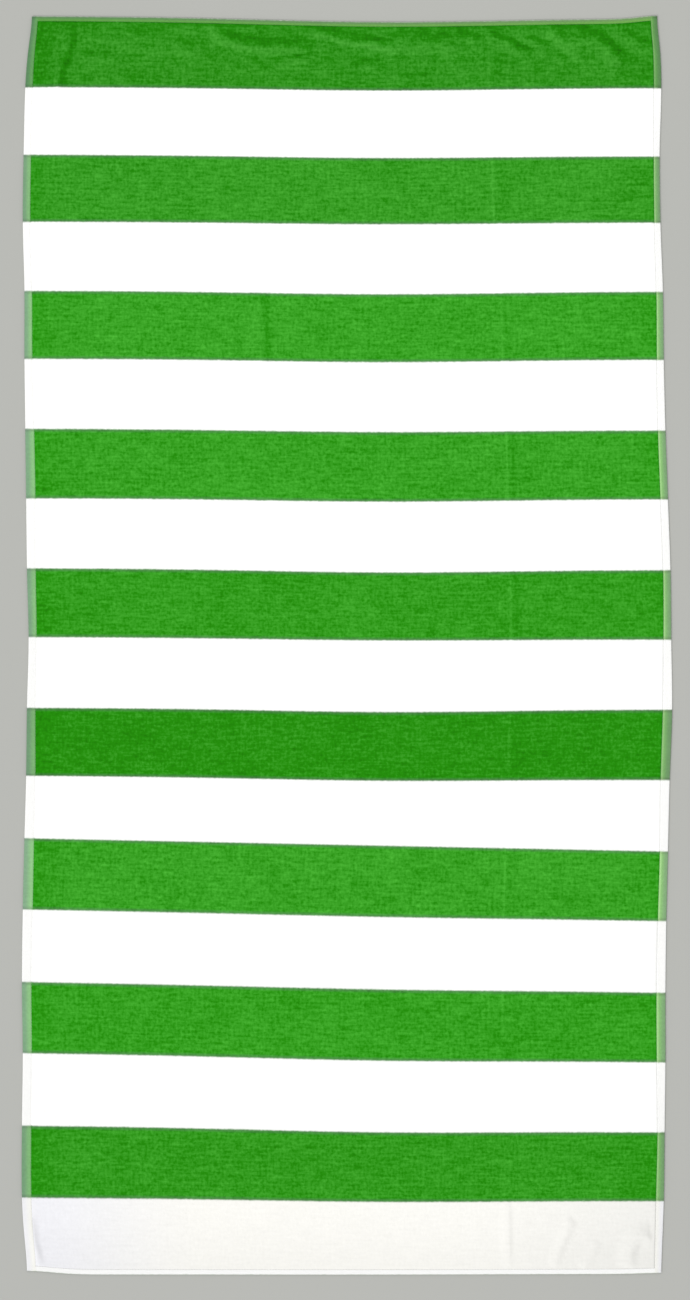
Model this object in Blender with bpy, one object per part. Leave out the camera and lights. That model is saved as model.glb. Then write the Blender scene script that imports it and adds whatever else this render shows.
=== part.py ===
"""A striped beach towel, laid out flat with its pile side up, as one closed solid of terry cloth.

The cloth is a pile field with a flat-woven hem along each of its four sides, turned under, pressed and
stitched. It lies flat on its back, and the creases left by folding lift it a little.

Metres. +X is the towel's right side, +Y its top hem and +Z up. The origin is under the middle of its box, on
the surface that it lies on.

A place in the cloth is (across, down): across is 0 at the left fold and WIDTH at the right one, and down is
0 at the top fold and LENGTH at the bottom one. The printed stripes' edges are numbered lines, PITCH apart:
line 0 is the top fold and line 18 the bottom one.
"""

import math
from collections import namedtuple

import bmesh
import bpy
import numpy as np
from mathutils import Vector
from mathutils.geometry import delaunay_2d_cdt

MM = 0.001

# The cloth as it is cut, printed and hemmed
WIDTH = 770 * MM
LENGTH = 1506 * MM
STRIPES = 18
PITCH = LENGTH / STRIPES

# The pile field and the hems
PILE_THICK = 3.0 * MM
HEM_THICK = 2.0 * MM
SIDE_HEM = 9.5 * MM
TOP_HEM = 5.7 * MM
BOTTOM_HEM = 6.0 * MM
FOLD_BULGE = 0.6 * MM  # how far a hem's folded edge stands out past its flat face
STITCH_THICK = 1.3 * MM  # what the stitches leave between them
STITCH_REACH = 0.8 * MM  # from the stitch line to where the hem is flat again
PILE_REACH = 2.5 * MM  # from the stitch line to where the pile has its full height

# How far each line's ends lie from their even places, and its middle's y, in mm: +x right, +y to the top hem.
# left_hem and right_hem are how much wider than SIDE_HEM the two side hems are there.
Line = namedtuple("Line", "left_x right_x left_y middle_y right_y left_hem right_hem")
LINES = (
    Line(4, -9, 2, -5, -1, -2.0, -1.5),
    Line(-1, -8, 0, -4, -1, -0.6, -0.6),
    Line(-3, -10, 3, -1, 1, -0.5, -2.4),
    Line(-4, -9, 6, 3, 5, -0.4, -2.2),
    Line(-2, -6, 7, 3, 6, -0.4, -1.6),
    Line(-2, -5, 9, 5, 8, 0, -1.2),
    Line(-1, -3, 9, 5, 7, 1.2, -0.5),
    Line(0, 0, 9, 5, 8, 1.7, -0.6),
    Line(1, 3, 9, 4, 7, 1.0, -0.8),
    Line(3, 4, 10, 6, 7, 0, -0.2),
    Line(1, 5, 9, 4, 7, 0.6, 1.6),
    Line(0, 2, 11, 5, 6, 1.6, 1.2),
    Line(-2, 0, 20, 11, 4, 2.0, 0.2),
    Line(-4, -2, 18, 9, 4, 2.4, 0.6),
    Line(-5, -3, 15, 6, 2, 1.8, 1.2),
    Line(-4, -3, 13, 4, 2, 1.4, 0.9),
    Line(-5, -4, 10, 2, 2, 1.6, -1.0),
    Line(-5, -5, 7, 2, 3, 1.8, -0.2),
    Line(-1, -8, -1.8, -1.8, -1, 1.5, -1.5),
)
HEM_EASE = 25 * MM  # how far into the pile a wider or narrower hem moves the cloth
SAG_MIDDLE = 0.56  # where a line sags most, as a share of the width
SAG_REACH = 0.19

# How far each corner is drawn out of line, in mm, and how far that reaches into the cloth
Corner = namedtuple("Corner", "across down x y reach")
CORNERS = (
    Corner(0, 0, 3, 0, 25),
    Corner(WIDTH, 0, -4, 4, 25),
    Corner(0, LENGTH, 2, 4.4, 30),
    Corner(WIDTH, LENGTH, 0, 1.3, 25),
)

# The creases. Each runs through its points, (mm across, line). rise is its height in mm. left and right are
# how far its slopes reach, in mm, on either hand of someone who walks along it.
Crease = namedtuple("Crease", "name rise left right points")
CREASES = (
    Crease(
        "top left slant", 2.5, 7, 22,
        ((54, 0.05), (53, 0.19), (52, 0.33), (49, 0.54), (46, 0.64), (42, 0.78), (38, 1.1), (37, 1.3)),
    ),
    Crease("top left slant, foot", 1.2, 12, 8, ((48, 0.58), (43, 0.78), (40, 1.0), (37, 1.3))),
    Crease("top left, hem patch", 0.9, 11, 22, ((55, 0.2), (97, 0.24), (142, 0.26), (172, 0.26))),
    Crease("top left, upper patch", 1.0, 8, 9, ((84, 0.31), (99, 0.33), (119, 0.32))),
    Crease("top left, lower patch", 1.3, 10, 9, ((60, 0.56), (79, 0.58), (97, 0.56))),
    Crease("top left dip", 1.3, 11, 14, ((178, 0.32), (190, 0.4), (206, 0.44), (220, 0.42))),
    Crease("top ripple, left, head", 1.5, 12, 12, ((222, 0.06), (229, 0.19), (240, 0.29), (259, 0.35))),
    Crease(
        "top ripple, left", 3.0, 13, 11,
        ((236, 0.27), (262, 0.35), (290, 0.39), (318, 0.38), (350, 0.34)),
    ),
    Crease(
        "top tuck", 2.0, 9, 5.5,
        ((338, 0.38), (338, 0.5), (330, 0.54), (319, 0.55), (308, 0.58), (298, 0.64)),
    ),
    Crease("top middle dip", 0.9, 9, 12, ((267, 0.47), (278, 0.62), (286, 0.72), (302, 0.77))),
    Crease(
        "top streak", 2.4, 13, 8,
        ((330, 0.15), (352, 0.18), (367, 0.21), (382, 0.26), (400, 0.3), (419, 0.33), (446, 0.38)),
    ),
    Crease("top shoulder", 1.4, 10, 10, ((387, 0.63), (403, 0.61), (418, 0.62), (436, 0.67))),
    Crease("top ripple, right, upper", 2.6, 13, 14, ((433, 0.25), (460, 0.26), (500, 0.27), (532, 0.32))),
    Crease(
        "top ripple, right, lower", 2.0, 11, 11,
        ((402, 0.26), (421, 0.3), (435, 0.35), (453, 0.38), (490, 0.37), (524, 0.4)),
    ),
    Crease("top low ripple", 0.8, 9, 10, ((447, 0.81), (470, 0.81), (494, 0.8))),
    Crease("top right, first", 1.4, 10, 12, ((515, 0.12), (529, 0.22), (543, 0.27), (559, 0.37))),
    Crease("top right, second", 1.8, 9, 14, ((552, 0.13), (573, 0.29), (585, 0.32), (594, 0.4), (612, 0.48))),
    Crease("top right, third", 1.1, 7, 10, ((595, 0.23), (612, 0.28), (621, 0.34), (634, 0.4))),
    Crease(
        "top right arc, inner", 2.3, 18, 13,
        ((628, 0.13), (644, 0.23), (652, 0.32), (664, 0.41), (675, 0.58)),
    ),
    Crease("top right arc, patch", 1.1, 9, 8, ((643, 0.5), (646, 0.56), (655, 0.61))),
    Crease(
        "top right arc, middle", 3.4, 16, 18,
        ((650, 0.14), (672, 0.24), (691, 0.29), (702, 0.4), (710, 0.47), (717, 0.58), (719, 0.68)),
    ),
    Crease(
        "top right arc, outer", 1.5, 9, 19,
        ((714, 0.12), (726, 0.23), (740, 0.33), (757, 0.42), (768, 0.58)),
    ),
    Crease("left third fold", 2.2, 13, 24, ((284, 3.8), (286, 4.4), (287, 5), (290, 6.1))),
    Crease("right third fold, top", 0.9, 20, 3.5, ((562, 0.1), (563, 1), (568, 2), (571, 3), (576, 4.4))),
    Crease("right third fold, middle", 1.0, 10, 4, ((576, 4.2), (580, 6), (580, 8), (579, 9.6))),
    Crease("right third fold, low", 0.9, 20, 3, ((578, 9.8), (577, 12), (576, 14.8))),
    Crease("right third fold, foot", 0.6, 6, 13, ((583, 17), (584, 17.4), (586, 17.9))),
    Crease("bottom left ridge", 1.6, 8, 9.5, ((8, 17.25), (9, 17.48), (10, 17.62), (13, 17.78), (14, 17.93))),
    Crease("bottom right slant", 1.3, 8, 12, ((662, 17.25), (652, 17.5), (638, 17.9))),
    Crease("bottom right step", 0.8, 8, 12, ((694, 17.55), (684, 17.75), (674, 17.92))),
    Crease("bottom right corner", 2.0, 11, 20, ((755, 17.46), (741, 17.5), (732, 17.66), (729, 17.92))),
)
CREASE_STEP = 30 * MM  # between the points of a long crease's smooth line
FEWEST_STEPS = 5
SLOPE_SHARES = (-1, -0.5, 0, 0.5, 1)  # where lines shape a crease's slopes, as shares of their reach

# How finely the solid is divided
ACROSS_STEPS = 24
STEPS_A_STRIPE = 4
BULGE_SHARES = (0.3, 0.7)  # heights of the fold's two outermost lines, as shares of the hem's thickness
SAME_PLACE = 1e-7  # points nearer than this are one
INSIDE_ONLY = 1  # the triangulation leaves out what is outside the lines
SHARP_ANGLE = math.radians(40)

GREEN = (0.041, 0.337, 0.018, 1)
WHITE = (0.88, 0.88, 0.87, 1)
COTTON_ROUGHNESS = 0.95


def on_curve(values, places):
    """Reads a smooth curve through values, which stand at 0, 1, 2 and so on, at each of the places."""
    values = np.asarray(values, float)
    places = np.asarray(places, float)
    last = len(values) - 1
    cell = np.clip(np.floor(places).astype(int), 0, last - 1)
    t = (places - cell).reshape(places.shape + (1,) * (values.ndim - 1))
    before, start, end, after = (values[np.clip(cell + k, 0, last)] for k in (-1, 0, 1, 2))
    return 0.5 * (
        2 * start
        + (end - before) * t
        + (2 * before - 5 * start + 4 * end - after) * t**2
        + (3 * start - before - 3 * end + after) * t**3
    )


def bell(distance, reach):
    return np.exp(-0.5 * (distance / reach) ** 2)


def hem_share(from_fold):
    """How much of a side hem's extra width moves a place at this distance from its fold."""
    return np.clip(from_fold / SIDE_HEM, 0, 1) * bell(np.maximum(from_fold - SIDE_HEM, 0), HEM_EASE)


def lie(across, down):
    """Where a place in the cloth lies, as x and y."""
    share = across / WIDTH
    line = np.clip(down / PITCH, 0, STRIPES)
    wander = dict(zip(Line._fields, on_curve(np.array(LINES) * MM, line).T))
    left = -WIDTH / 2 + wander["left_x"]
    right = WIDTH / 2 + wander["right_x"]
    straight = wander["left_y"] + (wander["right_y"] - wander["left_y"]) * share
    at_middle = wander["left_y"] + (wander["right_y"] - wander["left_y"]) * SAG_MIDDLE
    sag = (wander["middle_y"] - at_middle) * bell(share - SAG_MIDDLE, SAG_REACH)
    x = left + (right - left) * share
    x += wander["left_hem"] * hem_share(across) - wander["right_hem"] * hem_share(WIDTH - across)
    y = LENGTH / 2 - down + straight + sag
    for corner in CORNERS:
        near = bell(np.hypot(across - corner.across, down - corner.down), corner.reach * MM)
        x = x + corner.x * MM * near
        y = y + corner.y * MM * near
    return x, y


def crease_line(crease):
    """The crease's smooth line, as places in the cloth, and the directions to its left."""
    points = np.array(crease.points, float) * (MM, PITCH)
    length = np.hypot(*np.diff(points, axis=0).T).sum()
    count = max(FEWEST_STEPS, math.ceil(length / CREASE_STEP))
    line = on_curve(points, np.linspace(0, len(points) - 1, count + 1))
    along = np.gradient(line, axis=0)
    along /= np.hypot(*along.T)[:, None]
    # down runs against y, so the left of (across, down) is turned the other way round
    return line, np.stack([along[:, 1], -along[:, 0]], axis=1)


def crease_lift(crease, across, down):
    """How far the crease lifts each place: a rounded ridge that fades out at both its ends."""
    line, left = crease_line(crease)
    places = np.stack([across, down], axis=-1)
    start, step = line[:-1], np.diff(line, axis=0)
    gone = places[..., None, :] - start
    share = np.clip((gone * step).sum(-1) / (step**2).sum(-1), 0, 1)
    apart = gone - share[..., None] * step
    distance = np.hypot(apart[..., 0], apart[..., 1])
    nearest = distance.argmin(-1)[..., None]
    distance = np.take_along_axis(distance, nearest, -1)[..., 0]
    along = (nearest + np.take_along_axis(share, nearest, -1))[..., 0] / len(step)
    side = (np.take_along_axis(apart, nearest[..., None], -2)[..., 0, :] * left[nearest[..., 0]]).sum(-1)
    reach = np.where(side > 0, crease.left, crease.right) * MM
    slope = 0.5 + 0.5 * np.cos(np.pi * np.clip(distance / reach, 0, 1))
    fade = 1 - (2 * along - 1) ** 4
    return crease.rise * MM * slope * fade


def lift(across, down):
    return sum(crease_lift(crease, across, down) for crease in CREASES)


def hem_profile(inward, hem):
    """The cloth's thickness at a distance inward from a fold whose hem is this wide."""
    places = (0, hem - STITCH_REACH, hem, hem + STITCH_REACH, hem + PILE_REACH)
    thicknesses = (HEM_THICK, HEM_THICK, STITCH_THICK, HEM_THICK, PILE_THICK)
    return np.interp(inward, places, thicknesses)


def thickness(across, down):
    sides = hem_profile(np.minimum(across, WIDTH - across), SIDE_HEM)
    ends = np.minimum(hem_profile(down, TOP_HEM), hem_profile(LENGTH - down, BOTTOM_HEM))
    return np.minimum(sides, ends)


def hem_insets(hem):
    return [hem - STITCH_REACH, hem, hem + STITCH_REACH, hem + PILE_REACH]


def stations():
    """Where lines cross the cloth's edges: distances across and distances down, corners left out."""
    side, top, bottom = hem_insets(SIDE_HEM), hem_insets(TOP_HEM), hem_insets(BOTTOM_HEM)
    even_across = [WIDTH * i / ACROSS_STEPS for i in range(1, ACROSS_STEPS)]
    even_down = [PITCH * i / STEPS_A_STRIPE for i in range(1, STRIPES * STEPS_A_STRIPE)]
    across = sorted(side + even_across + [WIDTH - inset for inset in side])
    down = sorted(top + even_down + [LENGTH - inset for inset in bottom])
    return np.array(across), np.array(down)


def ring(inset):
    """The closed line at this inset from the folds, counterclockwise from above."""
    across, down = stations()
    low, high = inset, WIDTH - inset
    top, bottom = inset, LENGTH - inset
    places = [(low, bottom)] + [(a, bottom) for a in across]
    places += [(high, bottom)] + [(high, d) for d in down[::-1]]
    places += [(high, top)] + [(a, top) for a in across[::-1]]
    places += [(low, top)] + [(low, d) for d in down]
    return np.array(places)


def hem_lines():
    """The lines along the hems' stitches and the foot of the pile, each from fold to fold."""
    across, down = stations()
    across = np.concatenate([[FOLD_BULGE], across, [WIDTH - FOLD_BULGE]])
    down = np.concatenate([[FOLD_BULGE], down, [LENGTH - FOLD_BULGE]])
    upright = [a for inset in hem_insets(SIDE_HEM) for a in (inset, WIDTH - inset)]
    level = hem_insets(TOP_HEM) + [LENGTH - inset for inset in hem_insets(BOTTOM_HEM)]
    return [[(a, d) for d in down] for a in upright] + [[(a, d) for a in across] for d in level]


def printed_lines():
    across, _ = stations()
    across = np.concatenate([[FOLD_BULGE], across, [WIDTH - FOLD_BULGE]])
    return [[(a, line * PITCH) for a in across] for line in range(1, STRIPES)]


def slope_lines():
    """The lines that shape the creases: each crease's crest, and the middle and foot of its slopes."""
    lines = []
    margin = FOLD_BULGE * 2
    for crease in CREASES:
        line, left = crease_line(crease)
        for share in SLOPE_SHARES:
            reach = (crease.left if share > 0 else crease.right) * MM
            beside = line + left * reach * share
            within = (beside > margin).all(1) & (beside < (WIDTH - margin, LENGTH - margin)).all(1)
            lines.append(beside[within])
    return lines


def fill(edge, lines):
    """Fills the closed edge with triangles that keep to the lines.

    Gives the places of all points, each triangle's three points, and the points that stand on the edge.
    """
    places = [tuple(place) for place in edge]
    count = len(places)
    pairs = [(i, (i + 1) % count) for i in range(count)]
    for line in lines:
        first = len(places)
        places += [tuple(place) for place in line]
        pairs += [(i, i + 1) for i in range(first, len(places) - 1)]
    corners = [Vector(place) for place in places]
    found = delaunay_2d_cdt(corners, pairs, [], INSIDE_ONLY, SAME_PLACE)
    filled, triangles, sources = found[0], found[2], found[3]
    made_from = {source: i for i, group in enumerate(sources) for source in group}
    return np.array([tuple(point) for point in filled]), triangles, [made_from[i] for i in range(count)]


def solid_points(places, height_share):
    """Points of the solid at these places of the cloth, at a share of its thickness above its underside."""
    across, down = places.T
    x, y = lie(across, down)
    z = lift(across, down) + thickness(across, down) * height_share
    return np.stack([x, y, z], axis=1)


def cotton(name, color):
    material = bpy.data.materials.new(name)
    material.use_nodes = True
    material.diffuse_color = color
    shader = material.node_tree.nodes["Principled BSDF"]
    shader.inputs["Base Color"].default_value = color
    shader.inputs["Roughness"].default_value = COTTON_ROUGHNESS
    shader.inputs["Metallic"].default_value = 0
    return material


def towel_mesh():
    """The closed solid: the face, the back and the rounded folds between them.

    Seen from above, down runs the other way to y, so a filled triangle's points go clockwise.
    """
    edge = ring(FOLD_BULGE)
    face_places, face_triangles, face_edge = fill(edge, hem_lines() + printed_lines() + slope_lines())
    back_places, back_triangles, back_edge = fill(edge, slope_lines())
    mesh = bmesh.new()
    face = [mesh.verts.new(point) for point in solid_points(face_places, 1)]
    back = [mesh.verts.new(point) for point in solid_points(back_places, 0)]
    fold = [[mesh.verts.new(point) for point in solid_points(ring(0), share)] for share in BULGE_SHARES]
    for triangle in face_triangles:
        down = face_places[triangle, 1].mean()
        made = mesh.faces.new([face[i] for i in reversed(triangle)])
        made.material_index = int(down / PITCH) % 2
    for triangle in back_triangles:
        mesh.faces.new([back[i] for i in triangle]).material_index = 1
    rings = [[back[i] for i in back_edge], *fold, [face[i] for i in face_edge]]
    for lower, upper in zip(rings, rings[1:]):
        for i in range(len(edge)):
            mesh.faces.new([lower[i - 1], lower[i], upper[i], upper[i - 1]]).material_index = 1
    return mesh


def centre(mesh):
    """Moves the mesh so that its box's middle is over the origin."""
    points = np.array([vert.co for vert in mesh.verts])
    middle = (points.min(0) + points.max(0)) / 2
    bmesh.ops.translate(mesh, verts=mesh.verts, vec=(-middle[0], -middle[1], 0))


def main():
    for old in list(bpy.data.objects):
        bpy.data.objects.remove(old)
    mesh = towel_mesh()
    centre(mesh)
    data = bpy.data.meshes.new("towel")
    mesh.to_mesh(data)
    mesh.free()
    data.materials.append(cotton("green_cotton", GREEN))
    data.materials.append(cotton("white_cotton", WHITE))
    data.shade_smooth()
    data.set_sharp_from_angle(angle=SHARP_ANGLE)
    towel = bpy.data.objects.new("towel", data)
    bpy.context.scene.collection.objects.link(towel)


main()
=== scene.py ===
"""The looks of a striped beach towel, laid out flat with its pile side up.

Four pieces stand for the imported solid: the velour face, the flat-woven hems, the looped back and the hems'
stitches. All are made at places in the cloth, (across, down): across is 0 at the left fold and WIDTH at the
right one, and down is 0 at the top fold and LENGTH at the bottom one. The printed stripes' edges are numbered
lines, PITCH apart: line 0 is the top fold and line 18 the bottom one.

Metres. +X is the towel's right side, +Y its top hem and +Z up.
"""

import math
from collections import namedtuple

import bpy
import numpy as np
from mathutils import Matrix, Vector


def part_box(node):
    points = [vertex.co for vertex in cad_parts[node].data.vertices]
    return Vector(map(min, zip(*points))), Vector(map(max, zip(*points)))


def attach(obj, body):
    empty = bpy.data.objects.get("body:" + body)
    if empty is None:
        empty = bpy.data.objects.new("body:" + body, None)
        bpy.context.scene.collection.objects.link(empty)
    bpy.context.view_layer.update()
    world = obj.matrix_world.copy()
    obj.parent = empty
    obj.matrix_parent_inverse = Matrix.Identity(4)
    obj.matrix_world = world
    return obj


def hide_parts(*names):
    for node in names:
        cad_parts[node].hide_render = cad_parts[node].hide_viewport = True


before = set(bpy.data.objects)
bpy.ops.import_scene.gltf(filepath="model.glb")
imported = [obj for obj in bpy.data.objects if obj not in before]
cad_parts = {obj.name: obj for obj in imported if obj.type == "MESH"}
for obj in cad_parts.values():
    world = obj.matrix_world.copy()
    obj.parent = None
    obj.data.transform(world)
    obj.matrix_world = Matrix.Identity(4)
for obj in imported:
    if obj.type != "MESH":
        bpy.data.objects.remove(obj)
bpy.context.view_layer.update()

MM = 0.001

# The cloth as it is cut, printed and hemmed
WIDTH = 770 * MM
LENGTH = 1506 * MM
STRIPES = 18
PITCH = LENGTH / STRIPES
SIDE_HEM = 9.5 * MM
TOP_HEM = 5.7 * MM
BOTTOM_HEM = 6.0 * MM
HEM_THICK = 2.0 * MM
FOLD_BULGE = 0.6 * MM  # how far a hem's folded edge stands out past its flat face

# The face's height over the underside, in mm, by the distance inward from the stitch line
Height = namedtuple("Height", "inward over")
FACE_HEIGHTS = (
    Height(-1.6, 2.0),
    Height(-0.8, 1.95),
    Height(-0.4, 1.7),
    Height(0, 1.3),
    Height(0.5, 2.2),
    Height(1.0, 2.65),
    Height(1.5, 2.85),
    Height(2.5, 3.0),
)
RIM_REACH = 1.6 * MM  # the hem's rounded rim beside its stitches
PILE_REACH = 2.5 * MM  # from the stitch line to where the pile has its full height

# How far each line's ends lie from their even places, and its middle's y, in mm: +x right, +y to the top hem.
# left_hem and right_hem are how much wider than SIDE_HEM the two side hems are there.
Line = namedtuple("Line", "left_x right_x left_y middle_y right_y left_hem right_hem")
LINES = (
    Line(4, -9, 2, -5, -1, -2.0, -1.5),
    Line(-1, -8, 0, -4, -1, -0.6, -0.6),
    Line(-3, -10, 3, -1, 1, -0.5, -2.4),
    Line(-4, -9, 6, 3, 5, -0.4, -2.2),
    Line(-2, -6, 7, 3, 6, -0.4, -1.6),
    Line(-2, -5, 9, 5, 8, 0, -1.2),
    Line(-1, -3, 9, 5, 7, 1.2, -0.5),
    Line(0, 0, 9, 5, 8, 1.7, -0.6),
    Line(1, 3, 9, 4, 7, 1.0, -0.8),
    Line(3, 4, 10, 6, 7, 0, -0.2),
    Line(1, 5, 9, 4, 7, 0.6, 1.6),
    Line(0, 2, 11, 5, 6, 1.6, 1.2),
    Line(-2, 0, 20, 11, 4, 2.0, 0.2),
    Line(-4, -2, 18, 9, 4, 2.4, 0.6),
    Line(-5, -3, 15, 6, 2, 1.8, 1.2),
    Line(-4, -3, 13, 4, 2, 1.4, 0.9),
    Line(-5, -4, 10, 2, 2, 1.6, -1.0),
    Line(-5, -5, 7, 2, 3, 1.8, -0.2),
    Line(-1, -8, -1.8, -1.8, -1, 1.5, -1.5),
)
HEM_EASE = 25 * MM  # how far into the pile a wider or narrower hem moves the cloth
SAG_MIDDLE = 0.56  # where a line sags most, as a share of the width
SAG_REACH = 0.19

# How far each corner is drawn out of line, in mm, and how far that reaches into the cloth
Corner = namedtuple("Corner", "across down x y reach")
CORNERS = (
    Corner(0, 0, 3, 0, 25),
    Corner(WIDTH, 0, -4, 4, 25),
    Corner(0, LENGTH, 2, 4.4, 30),
    Corner(WIDTH, LENGTH, 0, 1.3, 25),
)

# The creases. Each runs through its points, (mm across, line). rise is its height in mm. left and right are
# how far its slopes reach, in mm, on either hand of someone who walks along it.
Crease = namedtuple("Crease", "name rise left right points")
CREASES = (
    Crease(
        "top left slant", 2.5, 7, 22,
        ((54, 0.05), (53, 0.19), (52, 0.33), (49, 0.54), (46, 0.64), (42, 0.78), (38, 1.1), (37, 1.3)),
    ),
    Crease("top left slant, foot", 1.2, 12, 8, ((48, 0.58), (43, 0.78), (40, 1.0), (37, 1.3))),
    Crease("top left, hem patch", 0.9, 11, 22, ((55, 0.2), (97, 0.24), (142, 0.26), (172, 0.26))),
    Crease("top left, upper patch", 1.0, 8, 9, ((84, 0.31), (99, 0.33), (119, 0.32))),
    Crease("top left, lower patch", 1.3, 10, 9, ((60, 0.56), (79, 0.58), (97, 0.56))),
    Crease("top left dip", 1.3, 11, 14, ((178, 0.32), (190, 0.4), (206, 0.44), (220, 0.42))),
    Crease("top ripple, left, head", 1.5, 12, 12, ((222, 0.06), (229, 0.19), (240, 0.29), (259, 0.35))),
    Crease(
        "top ripple, left", 3.0, 13, 11,
        ((236, 0.27), (262, 0.35), (290, 0.39), (318, 0.38), (350, 0.34)),
    ),
    Crease(
        "top tuck", 2.0, 9, 5.5,
        ((338, 0.38), (338, 0.5), (330, 0.54), (319, 0.55), (308, 0.58), (298, 0.64)),
    ),
    Crease("top middle dip", 0.9, 9, 12, ((267, 0.47), (278, 0.62), (286, 0.72), (302, 0.77))),
    Crease(
        "top streak", 2.4, 13, 8,
        ((330, 0.15), (352, 0.18), (367, 0.21), (382, 0.26), (400, 0.3), (419, 0.33), (446, 0.38)),
    ),
    Crease("top shoulder", 1.4, 10, 10, ((387, 0.63), (403, 0.61), (418, 0.62), (436, 0.67))),
    Crease("top ripple, right, upper", 2.6, 13, 14, ((433, 0.25), (460, 0.26), (500, 0.27), (532, 0.32))),
    Crease(
        "top ripple, right, lower", 2.0, 11, 11,
        ((402, 0.26), (421, 0.3), (435, 0.35), (453, 0.38), (490, 0.37), (524, 0.4)),
    ),
    Crease("top low ripple", 0.8, 9, 10, ((447, 0.81), (470, 0.81), (494, 0.8))),
    Crease("top right, first", 1.4, 10, 12, ((515, 0.12), (529, 0.22), (543, 0.27), (559, 0.37))),
    Crease("top right, second", 1.8, 9, 14, ((552, 0.13), (573, 0.29), (585, 0.32), (594, 0.4), (612, 0.48))),
    Crease("top right, third", 1.1, 7, 10, ((595, 0.23), (612, 0.28), (621, 0.34), (634, 0.4))),
    Crease(
        "top right arc, inner", 2.3, 18, 13,
        ((628, 0.13), (644, 0.23), (652, 0.32), (664, 0.41), (675, 0.58)),
    ),
    Crease("top right arc, patch", 1.1, 9, 8, ((643, 0.5), (646, 0.56), (655, 0.61))),
    Crease(
        "top right arc, middle", 3.4, 16, 18,
        ((650, 0.14), (672, 0.24), (691, 0.29), (702, 0.4), (710, 0.47), (717, 0.58), (719, 0.68)),
    ),
    Crease(
        "top right arc, outer", 1.5, 9, 19,
        ((714, 0.12), (726, 0.23), (740, 0.33), (757, 0.42), (768, 0.58)),
    ),
    Crease("left third fold", 2.2, 13, 24, ((284, 3.8), (286, 4.4), (287, 5), (290, 6.1))),
    Crease("right third fold, top", 0.9, 20, 3.5, ((562, 0.1), (563, 1), (568, 2), (571, 3), (576, 4.4))),
    Crease("right third fold, middle", 1.0, 10, 4, ((576, 4.2), (580, 6), (580, 8), (579, 9.6))),
    Crease("right third fold, low", 0.9, 20, 3, ((578, 9.8), (577, 12), (576, 14.8))),
    Crease("right third fold, foot", 0.6, 6, 13, ((583, 17), (584, 17.4), (586, 17.9))),
    Crease("bottom left ridge", 1.6, 8, 9.5, ((8, 17.25), (9, 17.48), (10, 17.62), (13, 17.78), (14, 17.93))),
    Crease("bottom right slant", 1.3, 8, 12, ((662, 17.25), (652, 17.5), (638, 17.9))),
    Crease("bottom right step", 0.8, 8, 12, ((694, 17.55), (684, 17.75), (674, 17.92))),
    Crease("bottom right corner", 2.0, 11, 20, ((755, 17.46), (741, 17.5), (732, 17.66), (729, 17.92))),
)
CREASE_STEP = 10 * MM  # between the points of a crease's smooth line
FEWEST_STEPS = 8

# The pile isn't quite even: how high and how wide its swells are
Swell = namedtuple("Swell", "height size seed")
SWELLS = (
    Swell(0.35 * MM, 110 * MM, 11),
    Swell(0.10 * MM, 32 * MM, 12),
    Swell(0.08 * MM, 9 * MM, 13),
)
PUCKER = Swell(0.12 * MM, 7 * MM, 14)  # what the stitches pull into the hems

# How finely the pieces are divided
ACROSS_STEP = 3.0 * MM
DOWN_STEP = 4.6 * MM
FINE_STEP = 2.2 * MM  # down the creased stripe at either end
FOLD_STEP = 1.6 * MM  # across the two long folds
LEFT_FOLD = (278 * MM, 298 * MM)
RIGHT_FOLD = (555 * MM, 588 * MM)
BOTTOM_CREASED = 50 * MM
SIDE_HEM_STEP = 1.8 * MM
END_HEM_STEP = 1.2 * MM
RIM_STEP = 0.4 * MM
SHOULDER_STEP = 0.5 * MM
BULGE_STEPS = 6
BACK_STEP = 5.0 * MM

# How the hems' map is laid out
HEM_RUN = 385 * MM  # how much of a hem one row of the map holds
HEM_ROWS = 12
LEFT_ROW, RIGHT_ROW, TOP_ROW, BOTTOM_ROW = 0, 4, 8, 10  # the first row of each hem
LAST_RUN = 3  # counted from 0, of the side hems
RUN_MARGIN = 8 * MM
SECTION_MARGIN = 1 * MM

# The underside: the turned hems lie on the surface, and the looped back starts inside them
BACK_LAP = 1.5 * MM
Depth = namedtuple("Depth", "inward over")
BACK_DEPTHS = (Depth(-1.5, 0.9), Depth(0.2, 0.5), Depth(2.0, 0.12))
HEM_DEPTHS = (Depth(-0.8, 0), Depth(0, 0.4))
BACK_SWELL = Swell(0.1 * MM, 8 * MM, 15)

# The stitches
STITCH_PITCH = 3.4 * MM
STITCH_SHARE = 0.9  # how much of the pitch shows as thread
THREAD_RADIUS = 0.26 * MM
THREAD_SIDES = 5
Bend = namedtuple("Bend", "along up width")  # shares of the stitch, the radius and the radius
THREAD_BENDS = (
    Bend(0, -1.6, 0.55),
    Bend(0.18, 0.1, 0.9),
    Bend(0.5, 0.5, 1.05),
    Bend(0.82, 0.1, 0.9),
    Bend(1, -1.6, 0.55),
)
THREAD_SLANT = 0.12 * MM
LEAST_SLANT = 0.3  # share of THREAD_SLANT
THREAD_SEED = 21
THREAD_MARGIN = 0.15  # round each thread's square of the map
END_GAP = 1.5 * MM  # from a fold to the first stitch

# Colours of the cotton, as the share of light that it returns. Dyed cotton is GREEN plus a little bare yarn.
WHITE = (0.885, 0.885, 0.87)
GREEN = (0.0183, 0.26, 0.004)
EDGE_GREEN = (0.06, 0.225, 0.05)  # where a stripe ends, its dye is thinner and greyer
BARE_PILE = (0.9, 0.85, 0.65)
BARE_THREAD = (0.965, 0.965, 0.875)
BACK_WHITE = (0.86, 0.86, 0.84)

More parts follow.
